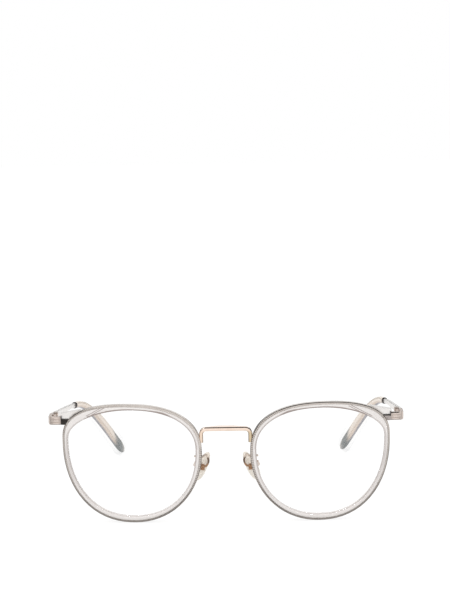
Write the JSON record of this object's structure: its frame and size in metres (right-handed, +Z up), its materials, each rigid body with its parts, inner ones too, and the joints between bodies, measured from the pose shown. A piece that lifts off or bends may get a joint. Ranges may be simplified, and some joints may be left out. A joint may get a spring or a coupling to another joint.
{
  "type": "eyeglasses",
  "caption": "Round eyeglass frame: thin metal rims with grey acetate inner rims, clear lenses, square wire bridge, rocking nose pads and folding temples in acetate sleeves.",
  "frame": {"origin": "on the table plane, under the middle of the whole part's width and length", "axes": "+X to the wearer's left, +Y back towards the ears, +Z up; the part stands on its rims and temple tips"},
  "size_m": [0.1314, 0.1348, 0.0447],
  "materials": {
    "rose_gold": "polished rose gold plate",
    "rim_metal": "polished warm grey plate, lightly engraved",
    "endpiece_metal": "polished pale beige plate",
    "temple_metal": "satin pale plate",
    "collar_metal": "polished dark plate",
    "screw_metal": "bright steel",
    "rim_acetate": "polished translucent grey acetate",
    "sleeve_acetate": "polished acetate, champagne fading to slate grey",
    "lens": "clear optical plastic",
    "pad": "clear soft plastic"
  },
  "bodies": {
    "front": {"bridge": "rose_gold", "eyewire_left": "rim_metal", "eyewire_right": "rim_metal", "rim_insert_left": "rim_acetate", "rim_insert_right": "rim_acetate", "lens_left": "lens", "lens_right": "lens", "endpiece_left": "endpiece_metal", "endpiece_right": "endpiece_metal", "rim_lock_upper_left": "rim_metal", "rim_lock_upper_right": "rim_metal", "rim_lock_lower_left": "rim_metal", "rim_lock_lower_right": "rim_metal", "rim_lock_screw_left": "screw_metal", "rim_lock_screw_right": "screw_metal", "front_hinge_left": "endpiece_metal", "front_hinge_right": "endpiece_metal", "hinge_screw_left": "screw_metal", "hinge_screw_right": "screw_metal", "pad_arm_left": "rose_gold", "pad_arm_right": "rose_gold", "pad_screw_left": "screw_metal", "pad_screw_right": "screw_metal"},
    "temple_left": {"temple_left": "temple_metal", "temple_collar_left": "collar_metal", "temple_sleeve_left": "sleeve_acetate", "temple_hinge_left": "temple_metal"},
    "pad_left": {"nose_pad_left": "pad", "pad_mount_left": "rose_gold"},
    "temple_right": {"temple_right": "temple_metal", "temple_collar_right": "collar_metal", "temple_sleeve_right": "sleeve_acetate", "temple_hinge_right": "temple_metal"},
    "pad_right": {"nose_pad_right": "pad", "pad_mount_right": "rose_gold"}
  },
  "joints": [
    {"name": "temple_fold_left", "type": "hinge", "parent": "front", "child": "temple_left", "pos_m": [0.06339, -0.05694, 0.03879], "axis": [0, -0.0523, 0.9986], "range_deg": [0, 86]},
    {"name": "temple_fold_right", "type": "hinge", "parent": "front", "child": "temple_right", "pos_m": [-0.06339, -0.05694, 0.03879], "axis": [0, 0.0523, -0.9986], "range_deg": [0, 80]},
    {"name": "pad_rock_left", "type": "hinge", "parent": "front", "child": "pad_left", "pos_m": [0.01076, -0.05898, 0.02029], "axis": [0.4183, 0.8706, 0.2591], "range_deg": [-10, 10]},
    {"name": "pad_rock_right", "type": "hinge", "parent": "front", "child": "pad_right", "pos_m": [-0.01076, -0.05898, 0.02029], "axis": [0.4183, -0.8706, -0.2591], "range_deg": [-10, 10]}
  ]
}
